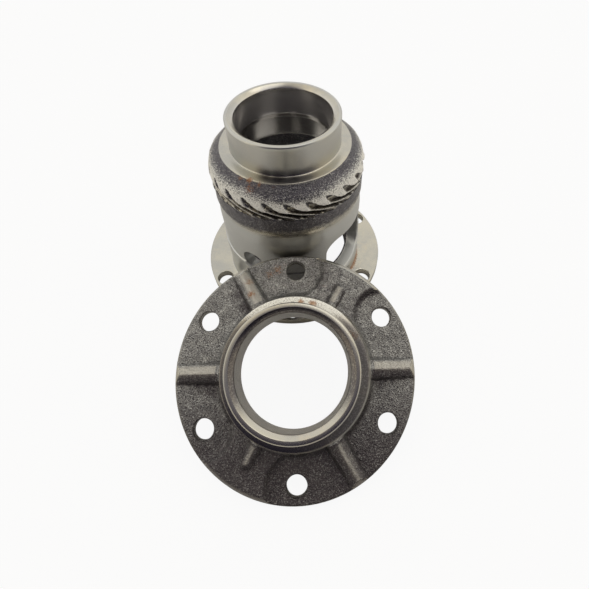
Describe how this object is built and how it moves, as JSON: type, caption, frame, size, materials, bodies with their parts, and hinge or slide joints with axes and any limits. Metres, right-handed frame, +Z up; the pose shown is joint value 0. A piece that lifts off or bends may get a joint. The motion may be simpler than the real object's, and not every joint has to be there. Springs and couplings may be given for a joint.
{
  "type": "differential housing",
  "caption": "Differential case with bearing neck, helical drive teeth, windows and bolting flange, and its ribbed end cover leaning against it.",
  "frame": {"origin": "centre of the case flange's underside, on the floor that both castings stand on", "axes": "+Z up along the case's axis, -Y toward the leaning cover, +X to the right as seen from the cover's side"},
  "size_m": [0.136, 0.2355, 0.1221],
  "materials": {
    "case_iron": "turned neck, shoulder, body and flange; rough as-cast bands beside the teeth",
    "cover_iron": "rough as-cast plate and ribs; turned neck, bore and rim"
  },
  "bodies": {
    "root": {"housing_case": "case_iron", "housing_cover": "cover_iron"}
  },
  "joints": []
}
